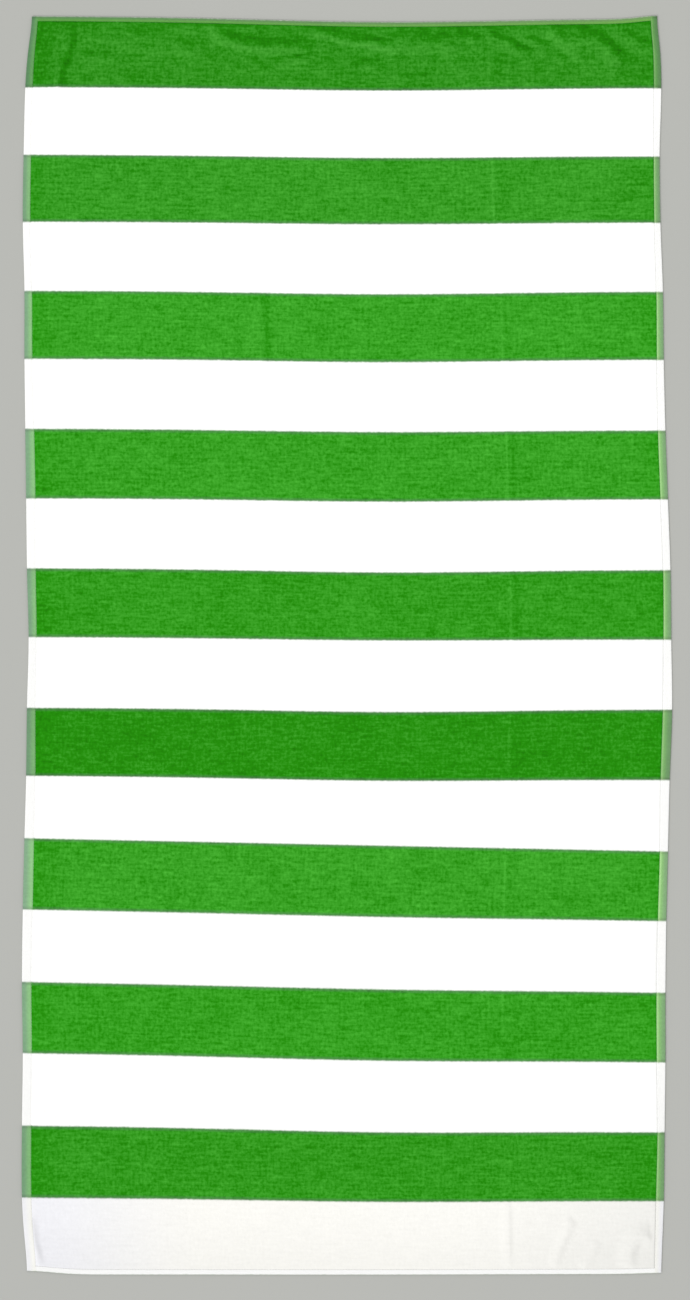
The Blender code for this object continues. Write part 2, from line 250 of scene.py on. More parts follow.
# The last white stripe is painted less bright than the others, as painted shade where the light falls off
# towards the towel's foot:
# bluish at its left, yellower to its right, and darker to its foot. Its hems keep paler than its pile, with
# painted shade of their own.
LAST_START = 16.5 * PITCH  # in the middle of the green stripe above, which hides the change
LAST_LEFT = (0.776, 0.776, 0.809)
LAST_MIDDLE = (0.843, 0.833, 0.793)
LAST_RIGHT = (0.764, 0.759, 0.727)
LAST_LEFT_END = 0.3 * WIDTH
LAST_RIGHT_START = 0.65 * WIDTH
LAST_RIGHT_END = 1.05 * WIDTH
# How much painted shade darkens the last stripe towards its foot
LAST_FOOT_SHADE = 0.075
LAST_FALL_START = 17 * PITCH
LAST_FALL_END = 18.3 * PITCH
# The last stripe's hems, with their painted shade: darkest at the side folds, lightest at the foot
LAST_HEM_FOLD = (0.8, 0.8, 0.82)
LAST_HEM_RIM = (0.85, 0.845, 0.8)
LAST_HEM_END = (0.88, 0.88, 0.87)
# Painted shade of the stitch line: how much darker the thread is in the last white stripe
LAST_THREAD_SHADE = 0.25

# The green hems, by their folded edge and by their inner rim: the share of the dye that they take, and the
# colour of the bare yarn between
Weave = namedtuple("Weave", "dye yarn")
SIDE_FOLD = Weave(0.64, (0.78, 0.73, 0.87))
SIDE_RIM = Weave(0.99, (0.965, 0.965, 0.875))
# The top fold's share of dye is raised as painted light, against the shade where that fold faces away from
# the key light
TOP_FOLD = Weave(0.9, (0.95, 0.9, 0.88))
TOP_RIM = Weave(1.0, (0.8, 0.85, 0.5))
RIM_START, RIM_FULL = 0.15, 0.9  # where the fold's look turns into the rim's, as shares of the hem's width
RIGHT_TINT = (0.99, 1.02, 0.8)  # the hems' bare yarn is yellower to the towel's right
# Painted light: the right hem is made paler just beside its stitches, against the pile's shadow there
CREST_LIGHT = 0.5  # how much paler the right hem is just beside its stitches
CREST_START, CREST_FULL = 0.68, 0.9  # shares of the hem's width

# Each green stripe's dye, from the top: how bright it is, and the shares of bare yarn in its pile and hems.
# How bright is partly painted shade: the creased top stripe is darker, and the last stripes darken as the
# light falls off to the towel's foot
Dye = namedtuple("Dye", "tone pile hem")
DYES_AND_SHADE = (
    Dye(0.835, 0.0111, 0.114),
    Dye(0.963, 0.0168, 0.202),
    Dye(1.064, 0.0167, 0.232),
    Dye(1.058, 0.0154, 0.228),
    Dye(1.006, 0.0113, 0.223),
    Dye(0.896, 0.0014, 0.179),
    Dye(1.098, 0.0172, 0.257),
    Dye(1.084, 0.013, 0.239),
    Dye(1.013, 0.0119, 0.198),
)
BARE_SWING = 0.088  # how much the share of bare yarn changes where the dye's depth changes by all of it

# A grain's depth, its size across and down, its seed, and how many finer noises it takes in
Grain = namedtuple("Grain", "depth wide long seed detail", defaults=(1.0,))
NOISE_LOW, NOISE_HIGH = 0.2, 0.8  # nearly all of the noise texture's values lie between

# The print's edges
EDGE_WAVER = Grain(0.35 * MM, 4 * MM, 4 * MM, 31)
EDGE_SOFT = 1.3 * MM
INK_FULL = 1.4 * MM  # the line of other dye along a stripe's edge
INK_REACH = 5.0 * MM
INK_IN_HEM = Weave(-0.3, -0.15)  # what that line changes in the hems: the dye, and the yarn's share

# How much darker the pile is made beside the hems, and how far that reaches
TOP_HEM_DARKENING = 0.13
TOP_HEM_DARKENING_REACH = 7 * MM
LEFT_HEM_DARKENING = 0.1
RIGHT_HEM_DARKENING = 0.05
SIDE_HEM_DARKENING_REACH = 42 * MM

# The grain of the sheared pile, as shares of the dye's depth
PILE_GRAINS = (
    Grain(0.18, 3.5 * MM, 4.0 * MM, 41),
    Grain(0.07, 1.7 * MM, 1.7 * MM, 42),
    Grain(0.13, 14 * MM, 3.3 * MM, 43),
    Grain(0.085, 42 * MM, 3.4 * MM, 44),
    Grain(0.07, 3.2 * MM, 22 * MM, 45),
    Grain(0.06, 17 * MM, 12 * MM, 46),
    Grain(0.05, 70 * MM, 50 * MM, 47),
)
RUMPLE = Grain(0.06, 18 * MM, 13 * MM, 48)  # the creased top stripe is less even than the rest
RUMPLE_FULL, RUMPLE_END = 0.9 * PITCH, 1.1 * PITCH

# Painted shade and highlight on the creases' slopes, partly the nap: a slope facing away from the key light's
# way below (across and down) closes up the nap and is painted deeper dyed and darker, as painted shade; a
# slope facing it is painted paler, as painted highlight
NAP_LIGHT_WAY = (-0.7, 0.7)  # across and down
# Painted shade on slopes facing away from the key light, then painted highlight on slopes facing it
NAP_SHADE = 0.8
NAP_HIGHLIGHT = 0.55
NAP_SHADE_DYE = 0.65  # of this, how much goes into the dye's depth; all of it goes into the bare yarn that shows
PALE_NAP_SHADE = 0.5  # how much of it shows in the last white stripe
PALE_GRAIN = 0.13  # how much of the grain shows in the white stripes

# The hems' weave: its ribs, its thicker yarns and its soft clouds, as shares of the dye's depth
RIB_PITCH = 0.9 * MM
RIB_SWING = 0.04
SLUBS = Grain(0.08, 3 * MM, 3 * MM, 51, 2)
HEM_CLOUDS = Grain(0.04, 20 * MM, 30 * MM, 52)
PALE_WEAVE = 0.012  # how much of the ribs and yarns shows in the white stripes
CROSSING_RELIEF = 0.6  # how high the crossings of the yarns stand, as a share of the ribs
SLUB_RELIEF = 0.5  # how high the thicker yarns stand

# The loops of the back: their pitch across and down, how unevenly they stand, and how much they shade it
LOOP_WIDE = 1.9 * MM
LOOP_LONG = 2.3 * MM
LOOP_LEAN = Grain(1.2, 2.2 * MM, 2.2 * MM, 61, 2)
LOOP_SHADE = 0.03
BACK_CLOUDS = Grain(0.02, 60 * MM, 60 * MM, 62)

# The twist of the sewing thread
TWIST_PITCH = 0.5 * MM
TWIST_SHADE = 0.05

# How each material takes the light, and how deep its relief is
Finish = namedtuple("Finish", "roughness sheen specular relief")
VELOUR = Finish(0.95, 0.05, 0, 0.4 * MM)
FLAT_WEAVE = Finish(0.9, 0.03, 0.1, 0.08 * MM)
TERRY = Finish(0.97, 0.1, 0, 0.5 * MM)
THREAD = Finish(0.6, 0, 0.1, 0.05 * MM)
SHEEN_ROUGHNESS = 0.4

# The camera straight above the towel, with the photo's frame
PHOTO_HIGH = 1300
PIXEL = 1.2 * MM
VIEW_MIDDLE = (-2.3 * MM, -5.8 * MM)
CAMERA_HEIGHT = 4.0
SENSOR = 36.0

# The lights and the floor
AMBIENT = 0.80
KEY_POWER = 1.3
KEY_FROM = (-0.5, -0.5, 0.72)  # half way up, over the bottom left corner
KEY_SPREAD = math.radians(30)
FILL_POWER = 10.0
FILL_PLACE = (0.0, 1.4, 2.0)
FILL_SIZE = 1.0
FLOOR_SIZE = 30.0
FLOOR_DROP = 0.2 * MM
FLOOR_TOP = (0.382, 0.386, 0.364)  # past the top hem, where the fill light is
FLOOR_BOTTOM = (0.418, 0.422, 0.4)
FLOOR_ROUGHNESS = 0.9
FLOOR_SPECULAR = 0.1


# ---------------------------------------------------------------- the lie of the cloth


def on_curve(values, places):
    """Reads a smooth curve through values, which stand at 0, 1, 2 and so on, at each of the places."""
    values = np.asarray(values, float)
    places = np.asarray(places, float)
    last = len(values) - 1
    cell = np.clip(np.floor(places).astype(int), 0, last - 1)
    t = (places - cell).reshape(places.shape + (1,) * (values.ndim - 1))
    before, start, end, after = (values[np.clip(cell + k, 0, last)] for k in (-1, 0, 1, 2))
    return 0.5 * (
        2 * start
        + (end - before) * t
        + (2 * before - 5 * start + 4 * end - after) * t**2
        + (3 * start - before - 3 * end + after) * t**3
    )


def bell(distance, reach):
    """1 at no distance, and falling off smoothly beyond it."""
    return np.exp(-0.5 * (distance / reach) ** 2)


def hem_share(from_fold):
    """How much of a side hem's extra width moves a place at this distance from its fold."""
    return np.clip(from_fold / SIDE_HEM, 0, 1) * bell(np.maximum(from_fold - SIDE_HEM, 0), HEM_EASE)


def lie(across, down):
    """Where a place in the cloth lies, as x and y, before the box is centred."""
    share = across / WIDTH
    line = np.clip(down / PITCH, 0, STRIPES)
    columns = np.moveaxis(on_curve(np.array(LINES) * MM, line), -1, 0)
    wander = dict(zip(Line._fields, columns))
    left = -WIDTH / 2 + wander["left_x"]
    right = WIDTH / 2 + wander["right_x"]
    straight = wander["left_y"] + (wander["right_y"] - wander["left_y"]) * share
    at_middle = wander["left_y"] + (wander["right_y"] - wander["left_y"]) * SAG_MIDDLE
    sag = (wander["middle_y"] - at_middle) * bell(share - SAG_MIDDLE, SAG_REACH)
    x = left + (right - left) * share
    x += wander["left_hem"] * hem_share(across) - wander["right_hem"] * hem_share(WIDTH - across)
    y = LENGTH / 2 - down + straight + sag
    for corner in CORNERS:
        near = bell(np.hypot(across - corner.across, down - corner.down), corner.reach * MM)
        x = x + corner.x * MM * near
        y = y + corner.y * MM * near
    return x, y


def crease_line(crease):
    """The crease's smooth line, as places in the cloth, and the directions to its left."""
    points = np.array(crease.points, float) * (MM, PITCH)
    length = np.hypot(*np.diff(points, axis=0).T).sum()
    count = max(FEWEST_STEPS, math.ceil(length / CREASE_STEP))
    line = on_curve(points, np.linspace(0, len(points) - 1, count + 1))
    along = np.gradient(line, axis=0)
    along /= np.hypot(*along.T)[:, None]
    # down runs against y, so the left of (across, down) is turned the other way round
    return line, np.stack([along[:, 1], -along[:, 0]], axis=1)


def crease_lift(crease, line, left, places):
    """How far the crease lifts each place: a soft ridge that fades out at both its ends."""
    start, step = line[:-1], np.diff(line, axis=0)
    gone = places[:, None, :] - start
    share = np.clip((gone * step).sum(-1) / (step**2).sum(-1), 0, 1)
    apart = gone - share[..., None] * step
    distance = np.hypot(apart[..., 0], apart[..., 1])
    nearest = distance.argmin(-1)
    which = np.arange(len(places))
    along = (nearest + share[which, nearest]) / len(step)
    side = (apart[which, nearest] * left[nearest]).sum(-1)
    reach = np.where(side > 0, crease.left, crease.right) * MM
    slope = 0.5 + 0.5 * np.cos(math.pi * np.clip(distance[which, nearest] / reach, 0, 1))
    fade = 1 - (2 * along - 1) ** 4
    return crease.rise * MM * slope * fade


def lift(across, down):
    """How far all the creases lift each place."""
    places = np.stack([across, down], axis=-1).reshape(-1, 2)
    lifted = np.zeros(len(places))
    for crease in CREASES:
        line, left = crease_line(crease)
        reach = max(crease.left, crease.right) * MM
        near = (places > line.min(0) - reach).all(1) & (places < line.max(0) + reach).all(1)
        lifted[near] += crease_lift(crease, line, left, places[near])
    return lifted.reshape(np.shape(across))


def nap_and_shade(across, down):
    """How much the creases' slopes are painted lighter, above 0, or darker, below 0, by how they face the key
    light: painted highlight where the nap opens, painted shade where it closes.
    """
    near = 0.5 * MM
    slope_across = (lift(across + near, down) - lift(across - near, down)) / (2 * near)
    slope_down = (lift(across, down + near) - lift(across, down - near)) / (2 * near)
    facing = -(slope_across * NAP_LIGHT_WAY[0] + slope_down * NAP_LIGHT_WAY[1])
    return facing * np.where(facing > 0, NAP_HIGHLIGHT, NAP_SHADE)


def swell(kind, across, down):
    """A soft random relief at the crossings of these stations across and down."""
    random = np.random.default_rng(kind.seed)
    shape = (math.ceil(LENGTH / kind.size) + 2, math.ceil(WIDTH / kind.size) + 2)
    values = random.uniform(-kind.height, kind.height, shape)
    return on_curve(on_curve(values, down / kind.size).T, across / kind.size).T


def inward(across, down):
    """How far a place lies inside the nearest stitch line: below 0 in the hems."""
    sides = np.minimum(across, WIDTH - across) - SIDE_HEM
    ends = np.minimum(down - TOP_HEM, LENGTH - down - BOTTOM_HEM)
    return np.minimum(sides, ends)


def read(profile, places):
    """A profile's height at these distances inward, in metres."""
    return np.interp(places / MM, [row.inward for row in profile], [row.over for row in profile]) * MM


# ---------------------------------------------------------------- stations and meshes


def graded(*stops):
    """Stations from the first stop to the last. A stop is (place, step); its step holds up to the next."""
    parts = []
    for (start, step), (end, _) in zip(stops, stops[1:]):
        count = max(1, round((end - start) / step))
        parts.append(np.linspace(start, end, count, endpoint=False))
    return np.concatenate([*parts, [stops[-1][0]]])


def across_stations():
    return graded(
        (FOLD_BULGE, SIDE_HEM_STEP),
        (SIDE_HEM - RIM_REACH, RIM_STEP),
        (SIDE_HEM, SHOULDER_STEP),
        (SIDE_HEM + PILE_REACH, ACROSS_STEP),
        (LEFT_FOLD[0], FOLD_STEP),
        (LEFT_FOLD[1], ACROSS_STEP),
        (RIGHT_FOLD[0], FOLD_STEP),
        (RIGHT_FOLD[1], ACROSS_STEP),
        (WIDTH - SIDE_HEM - PILE_REACH, SHOULDER_STEP),
        (WIDTH - SIDE_HEM, RIM_STEP),
        (WIDTH - SIDE_HEM + RIM_REACH, SIDE_HEM_STEP),
        (WIDTH - FOLD_BULGE, None),
    )


def down_stations():
    return graded(
        (FOLD_BULGE, END_HEM_STEP),
        (TOP_HEM - RIM_REACH, RIM_STEP),
        (TOP_HEM, SHOULDER_STEP),
        (TOP_HEM + PILE_REACH, FINE_STEP),
        (PITCH, DOWN_STEP),
        (LENGTH - BOTTOM_CREASED, FINE_STEP),
        (LENGTH - BOTTOM_HEM - PILE_REACH, SHOULDER_STEP),
        (LENGTH - BOTTOM_HEM, RIM_STEP),
        (LENGTH - BOTTOM_HEM + RIM_REACH, END_HEM_STEP),
        (LENGTH - FOLD_BULGE, None),
    )


def border(grid):
    """The outermost entries of a grid of rows, in order, counterclockwise from above."""
    return np.concatenate([grid[-1, :-1], grid[:0:-1, -1], grid[0, :0:-1], grid[:-1, 0]])


def outline(inset):
    """Places all round the cloth at this inset from its folds."""
    across = across_stations()
    down = down_stations()
    across[0], across[-1] = inset, WIDTH - inset
    down[0], down[-1] = inset, LENGTH - inset
    return border(np.stack(np.meshgrid(across, down), axis=-1))


def centring():
    """What moves the cloth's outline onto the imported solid's box."""
    x, y = lie(*outline(0).T)
    low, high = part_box("towel")
    return (low.x + high.x - x.min() - x.max()) / 2, (low.y + high.y - y.min() - y.max()) / 2


SHIFT = centring()


def points_at(places, height):
    """Points over these places, at a height over the surface that the towel lies on."""
    x, y = lie(*places.T)
    return np.stack([x + SHIFT[0], y + SHIFT[1], height], axis=1)


def cells(rows, columns):
    """The four corners of each cell of a grid of points, counterclockwise from above."""
    index = np.arange(rows * columns).reshape(rows, columns)
    return np.stack([index[:-1, :-1], index[1:, :-1], index[1:, 1:], index[:-1, 1:]], axis=-1).reshape(-1, 4)


def dye_and_shade_at(down):
    """The dye at these distances down, even within each green stripe, in columns as in the stripes' table,
    with its painted shade.
    """
    lines = np.arange(2 * len(DYES_AND_SHADE))
    return np.stack([np.interp(down / PITCH, lines, np.repeat(column, 2)) for column in zip(*DYES_AND_SHADE)], axis=1)


def piece(name, places, points, faces, uv, material):
    """An object of these faces, with its places in the cloth, its dye with the stripes' painted shade, and
    its nap's painted light and shade as attributes.
    """
    used, numbered = np.unique(faces, return_inverse=True)
    mesh = bpy.data.meshes.new(name)
    mesh.from_pydata(points[used], [], numbered.reshape(faces.shape))
    cloth = np.column_stack([places[used], np.zeros(len(used))])
    mesh.attributes.new("cloth", "FLOAT_VECTOR", "POINT").data.foreach_set("vector", cloth.ravel())
    dye = dye_and_shade_at(places[used, 1])
    mesh.attributes.new("dye", "FLOAT_VECTOR", "POINT").data.foreach_set("vector", dye.ravel())
    mesh.attributes.new("nap_and_shade", "FLOAT", "POINT").data.foreach_set("value", nap_and_shade(*places[used].T))
    mesh.uv_layers.new(name="OFBake").uv.foreach_set("vector", uv.ravel())
    mesh.shade_smooth()
    mesh.materials.append(material)
    made = bpy.data.objects.new(name, mesh)
    bpy.context.scene.collection.objects.link(made)
    return made


def flat_uv(places):
    """Spreads the places over the whole map, the top of the cloth at its top."""
    low, high = places.min((0, 1)), places.max((0, 1))
    share = (places - low) / (high - low)
    return np.stack([share[..., 0], 1 - share[..., 1]], axis=-1)


# ---------------------------------------------------------------- the pieces


def face_surface():
    """The whole face, hems and pile: its places, points and cells, and whether each cell is pile."""
    across = across_stations()
    down = down_stations()
    grid = np.stack(np.meshgrid(across, down), axis=-1)
    places = grid.reshape(-1, 2)
    inside = inward(*places.T)
    height = lift(*places.T) + read(FACE_HEIGHTS, inside)
    swells = sum(swell(kind, across, down) for kind in SWELLS).ravel()
    pucker = swell(PUCKER, across, down).ravel()
    height += np.where(inside > 0, swells * np.clip(inside / PILE_REACH, 0, 1), 0)
    height += np.where(inside < 0, pucker * np.clip(1 + inside / SIDE_HEM, 0, 1), 0)
    faces = cells(len(down), len(across))
    pile = inward(*places[faces].mean(1).T) > 0
    return places, points_at(places, height), faces, pile


def make_face(material):
    places, points, faces, pile = face_surface()
    faces = faces[pile]
    return piece("pile_face", places, points, faces, flat_uv(places[faces]), material)


def fold_rings(first, last, start):
    """Places, points and faces of the rounded folds, from the underside's border to the face's."""
    turns = np.linspace(-math.pi / 2, math.pi / 2, BULGE_STEPS + 1)[1:-1]
    places, points, numbers = [], [], [first]
    for turn in turns:
        ring = outline(FOLD_BULGE * (1 - math.cos(turn)))
        height = lift(*ring.T) + HEM_THICK * (1 + math.sin(turn)) / 2
        places.append(ring)
        points.append(points_at(ring, height))
        numbers.append(start + np.arange(len(ring)))
        start += len(ring)
    numbers.append(last)
    faces = []
    for lower, upper in zip(numbers, numbers[1:]):
        faces.append(np.stack([np.roll(lower, 1), lower, upper, np.roll(upper, 1)], axis=-1))
    return np.concatenate(places), np.concatenate(points), np.concatenate(faces)


def make_hem(material):
    """The four hems in one piece: the face's side, the rounded folds and the turned underside."""
    places, points, faces, pile = face_surface()
    count = len(places)
    under_height = lift(*places.T) + read(HEM_DEPTHS, inward(*places.T))
    under = points_at(places, under_height)
    grid = np.arange(count).reshape(len(down_stations()), -1)
    fold_places, fold_points, fold_faces = fold_rings(border(grid) + count, border(grid), 2 * count)
    all_places = np.concatenate([places, places, fold_places])
    all_points = np.concatenate([points, under, fold_points])
    all_faces = np.concatenate([faces[~pile], faces[~pile][:, ::-1] + count, fold_faces])
    turned = np.concatenate([np.zeros(count), np.ones(count), np.full(len(fold_places), 0.5)])
    uv = hem_uv(all_places[all_faces], turned[all_faces])
    return piece("hem", all_places, all_points, all_faces, uv, material)


def hem_uv(places, turned):
    """Lays each hem out in rows of HEM_RUN, unrolled from its stitches over the fold to its underside."""
    across, down = places[..., 0], places[..., 1]
    middle_across, middle_down = across.mean(1), down.mean(1)
    right = middle_across > WIDTH / 2
    bottom = middle_down > LENGTH / 2
    side = np.minimum(middle_across, WIDTH - middle_across) < SIDE_HEM
    from_side = np.where(right[:, None], WIDTH - across, across)
    from_end = np.where(bottom[:, None], LENGTH - down, down)
    along = np.where(side[:, None], down, across)
    depth = np.where(side[:, None], from_side, from_end)
    run = np.clip(np.floor(along.mean(1) / HEM_RUN), 0, LAST_RUN)
    row = run + np.where(side, np.where(right, RIGHT_ROW, LEFT_ROW), np.where(bottom, BOTTOM_ROW, TOP_ROW))
    around = SIDE_HEM + HEM_THICK / 2 + (2 * turned - 1) * (HEM_THICK / 2 + depth)
    tall = 2 * (SIDE_HEM + HEM_THICK / 2)
    u = (along - run[:, None] * HEM_RUN + RUN_MARGIN) / (HEM_RUN + 2 * RUN_MARGIN)
    v = (row[:, None] + (around + SECTION_MARGIN) / (tall + 2 * SECTION_MARGIN)) / HEM_ROWS
    return np.stack([u, v], axis=-1)


def make_back(material):
    """The looped underside, from just inside the turned hems."""
    across = graded((SIDE_HEM - BACK_LAP, BACK_STEP), (WIDTH - SIDE_HEM + BACK_LAP, None))
    down = graded((TOP_HEM - BACK_LAP, BACK_STEP), (LENGTH - BOTTOM_HEM + BACK_LAP, None))
    places = np.stack(np.meshgrid(across, down), axis=-1).reshape(-1, 2)
    loops = swell(BACK_SWELL, across, down).ravel() + BACK_SWELL.height
    height = lift(*places.T) + read(BACK_DEPTHS, inward(*places.T)) + loops
    faces = cells(len(down), len(across))[:, ::-1]
    return piece("terry_back", places, points_at(places, height), faces, flat_uv(places[faces]), material)


def stitch_rows():
    """Where each row of stitches starts and ends, as places in the cloth."""
    left, right = SIDE_HEM, WIDTH - SIDE_HEM
    top, bottom = TOP_HEM, LENGTH - BOTTOM_HEM
    return (
        ((left, END_GAP), (left, LENGTH - END_GAP)),
        ((right, END_GAP), (right, LENGTH - END_GAP)),
        ((left, top), (right, top)),
        ((left, bottom), (right, bottom)),
    )


def thread_rings():
    """Each point of one thread: how far it is along, as a share of the stitch, and aside and up, in radii."""
    turns = np.arange(THREAD_SIDES) * 2 * math.pi / THREAD_SIDES
    along, up, width = (np.array(column)[:, None] for column in zip(*THREAD_BENDS))
    return along - 0.5, width * np.cos(turns), up + width * np.sin(turns)


def stitch_row(start, end, random):
    """The points of every thread in a row, as places in the cloth, and how far each stands up."""
    start, end = np.array(start), np.array(end)
    length = np.hypot(*(end - start))
    way = (end - start) / length
    count = round(length / STITCH_PITCH)
    middles = start + (end - start) * ((np.arange(count) + 0.5) / count)[:, None]
    along, aside, up = thread_rings()
    slants = random.uniform(LEAST_SLANT, 1, count)[:, None, None] * THREAD_SLANT
    sideways = aside * THREAD_RADIUS + slants * along * 2
    forward = along * STITCH_PITCH * STITCH_SHARE + 0 * aside
    places = middles[:, None, None] + forward[..., None] * way + sideways[..., None] * way[::-1]
    ups = np.broadcast_to(up * THREAD_RADIUS, (count, *up.shape))
    return places.reshape(-1, 2), ups.ravel()


def make_stitches(material):
    """Every stitch on both sides of the cloth, each a short thread whose ends dive in."""
    random = np.random.default_rng(THREAD_SEED)
    all_places, all_points = [], []
    for start, end in stitch_rows():
        places, ups = stitch_row(start, end, random)
        lifted = lift(*places.T)
        all_places += [places, places]
        all_points.append(points_at(places, lifted + read(FACE_HEIGHTS, 0) + ups))
        all_points.append(points_at(places, lifted + read(HEM_DEPTHS, 0) - ups))
    places, points = np.concatenate(all_places), np.concatenate(all_points)
    faces = thread_faces(len(places))
    return piece("hem_stitches", places, points, faces, thread_uv(len(faces)), material)


def thread_faces(count):
    """The faces of each thread's open tube."""
    bends = len(THREAD_BENDS)
    index = np.arange(count).reshape(-1, bends, THREAD_SIDES)
    beside = np.roll(index, -1, axis=2)
    return np.stack([index[:, :-1], beside[:, :-1], beside[:, 1:], index[:, 1:]], axis=-1).reshape(-1, 4)


def thread_uv(count):
    """Gives each thread its own square of the map."""
    bands = len(THREAD_BENDS) - 1
    threads = count // (bands * THREAD_SIDES)
    wide = math.ceil(math.sqrt(threads))
    thread = np.arange(threads)
    corner = np.stack([thread % wide, thread // wide], axis=-1)[:, None, None, None, :]
    band, side = np.meshgrid(np.arange(bands), np.arange(THREAD_SIDES), indexing="ij")
    low = np.stack([band / bands, side / THREAD_SIDES], axis=-1)
    step = np.array([(0, 0), (0, 1), (1, 1), (1, 0)]) / (bands, THREAD_SIDES)
    inner = low[:, :, None, :] + step
    return (corner + THREAD_MARGIN + (1 - 2 * THREAD_MARGIN) * inner) / wide


# ---------------------------------------------------------------- materials


class Cotton:
    """One material. Its methods add a node and give its output."""

    def __init__(self, name, finish):
        self.material = bpy.data.materials.new(name)
        self.material.use_nodes = True
        self.tree = self.material.node_tree
        self.relief = finish.relief
        self.shader = self.tree.nodes["Principled BSDF"]
        self.shader.inputs["Roughness"].default_value = finish.roughness
        self.shader.inputs["Specular IOR Level"].default_value = finish.specular
        self.shader.inputs["Sheen Weight"].default_value = finish.sheen
        self.shader.inputs["Sheen Roughness"].default_value = SHEEN_ROUGHNESS
        self.cloth = self.node("ShaderNodeAttribute", {}, attribute_name="cloth").outputs["Vector"]
        self.across, self.down, _ = self.parts(self.cloth)
        self.tone, self.pile_bare, self.hem_bare = self.parts(
            self.node("ShaderNodeAttribute", {}, attribute_name="dye").outputs["Vector"]
        )
        self.nap_and_shade = self.node("ShaderNodeAttribute", {}, attribute_name="nap_and_shade").outputs["Fac"]

    def node(self, kind, inputs, **settings):
        made = self.tree.nodes.new(kind)
        for name, value in settings.items():
            setattr(made, name, value)
        for place, value in inputs.items():
            if isinstance(value, bpy.types.NodeSocket):
                self.tree.links.new(value, made.inputs[place])
            else:
                made.inputs[place].default_value = value
        return made

    def parts(self, vector):
        return self.node("ShaderNodeSeparateXYZ", {0: vector}).outputs

    def math(self, operation, *values):
        return self.node("ShaderNodeMath", dict(enumerate(values)), operation=operation).outputs[0]

    def add(self, *values):
        total = values[0]
        for value in values[1:]:
            total = self.math("ADD", total, value)
        return total

    def times(self, *values):
        product = values[0]
        for value in values[1:]:
            product = self.math("MULTIPLY", product, value)
        return product

    def step(self, value, start, end):
        """0 up to start, 1 from end, and smooth between."""
        ends = {"Value": value, "From Min": start, "From Max": end}
        return self.node("ShaderNodeMapRange", ends, interpolation_type="SMOOTHSTEP").outputs["Result"]

    def noise(self, grain):
        """Random from about -1 to 1, in grains of this size."""
        stretch = {0: self.cloth, 1: (1 / grain.wide, 1 / grain.long, 0), 2: (0, 0, grain.seed)}
        place = self.node("ShaderNodeVectorMath", stretch, operation="MULTIPLY_ADD").outputs[0]
        made = self.node("ShaderNodeTexNoise", {"Vector": place, "Scale": 1, "Detail": grain.detail})
        spread = {"From Min": NOISE_LOW, "From Max": NOISE_HIGH, "To Min": -1, "To Max": 1}
        spread["Value"] = made.outputs["Fac"]
        return self.node("ShaderNodeMapRange", spread, clamp=False).outputs["Result"]

    def grains(self, *rows):
        """The sum of these grains, each at its own depth."""
        return self.add(*(self.times(self.noise(row), row.depth) for row in rows))

    def wave(self, place, pitch):
        """A sine along this place, from -1 to 1."""
        return self.math("SINE", self.times(place, 2 * math.pi / pitch))

    def mix(self, share, first, second):
        """The first colour where share is 0, and the second where it is 1."""
        made = self.node("ShaderNodeMix", {0: share, 4: first, 5: second}, data_type="VECTOR")
        return made.outputs[1]

    def scale(self, color, share):
        """The colour times a number."""
        return self.node("ShaderNodeVectorMath", {0: color, "Scale": share}, operation="SCALE").outputs[0]

    def tint(self, color, tint):
        """The colour times another one."""
        return self.node("ShaderNodeVectorMath", {0: color, 1: tint}, operation="MULTIPLY").outputs[0]

    def dyed(self, depth, bare, bare_color):
        """Green cotton at this depth of dye, with this share of bare yarn."""
        green = self.scale(GREEN, self.math("MAXIMUM", depth, 0))
        yarn = self.scale(bare_color, self.math("MAXIMUM", bare, 0))
        return self.node("ShaderNodeVectorMath", {0: green, 1: yarn}, operation="ADD").outputs[0]

    def finished(self, color, height):
        """The material, with this colour and a fine relief of this height."""
        bump = self.node("ShaderNodeBump", {"Height": height, "Distance": self.relief, "Strength": 1})
        self.tree.links.new(color, self.shader.inputs["Base Color"])
        self.tree.links.new(bump.outputs[0], self.shader.inputs["Normal"])
        return self.material


def stripes(cotton):
    """The print: how white each place is, and how near it is to a green stripe's edge."""
    line = cotton.times(cotton.add(cotton.down, cotton.grains(EDGE_WAVER)), 1 / PITCH)
    from_middle = cotton.math("PINGPONG", cotton.add(line, -0.5), 1)
    soft = EDGE_SOFT / PITCH
    white = cotton.step(from_middle, 0.5 - soft, 0.5 + soft)
    return white, cotton.step(from_middle, 0.5 - INK_REACH / PITCH, 0.5 - INK_FULL / PITCH)


def in_last_stripe(cotton):
    """1 in the last white stripe, and 0 in the others."""
    return cotton.math("GREATER_THAN", cotton.down, LAST_START)


def unprinted_and_shaded(cotton):
    """The white stripes' colour in the pile, with the last one's painted shade."""
    from_left = cotton.step(cotton.across, 0, LAST_LEFT_END)
    to_right = cotton.step(cotton.across, LAST_RIGHT_START, LAST_RIGHT_END)
    to_foot = cotton.step(cotton.down, LAST_FALL_START, LAST_FALL_END)
    last = cotton.mix(to_right, cotton.mix(from_left, LAST_LEFT, LAST_MIDDLE), LAST_RIGHT)
    last = cotton.scale(last, cotton.add(1, cotton.times(to_foot, -LAST_FOOT_SHADE)))
    return cotton.mix(in_last_stripe(cotton), WHITE, last)


